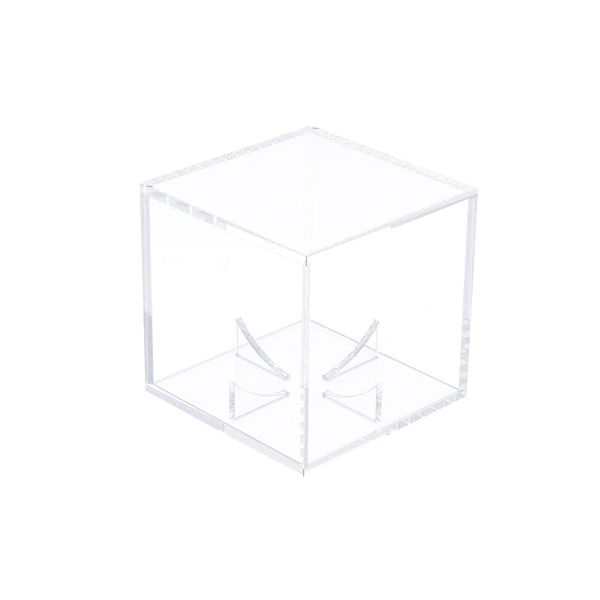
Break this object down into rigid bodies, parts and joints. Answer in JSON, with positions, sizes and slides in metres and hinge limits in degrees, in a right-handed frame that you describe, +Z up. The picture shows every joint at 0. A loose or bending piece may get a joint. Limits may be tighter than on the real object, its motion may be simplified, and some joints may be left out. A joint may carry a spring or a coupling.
{
  "type": "acrylic display cube",
  "caption": "Clear acrylic display cube for a ball: a base half with a finned cradle and a cover half that slides on from above.",
  "frame": {"origin": "middle of the underside, on the surface that the cube stands on", "axes": "+Z up, the way the cover lifts; +X to the right and +Y to the back, square to the walls"},
  "size_m": [0.0826, 0.0826, 0.0812],
  "materials": {
    "base_half_acrylic": "clear, polished",
    "cover_half_acrylic": "clear, polished",
    "fin_acrylic": "clear, polished edges"
  },
  "bodies": {
    "base_half": {"base_floor": "base_half_acrylic", "base_left_wall": "base_half_acrylic", "base_right_wall": "base_half_acrylic", "cradle_fin_left": "fin_acrylic", "cradle_fin_right": "fin_acrylic", "cradle_fin_front": "fin_acrylic", "cradle_fin_back": "fin_acrylic"},
    "cover_half": {"cover_top": "cover_half_acrylic", "cover_front_wall": "cover_half_acrylic", "cover_back_wall": "cover_half_acrylic"}
  },
  "joints": [
    {"name": "cover_lift", "type": "slide", "parent": "base_half", "child": "cover_half", "axis": [0, 0, 1], "range_m": [0, 0.085]}
  ]
}
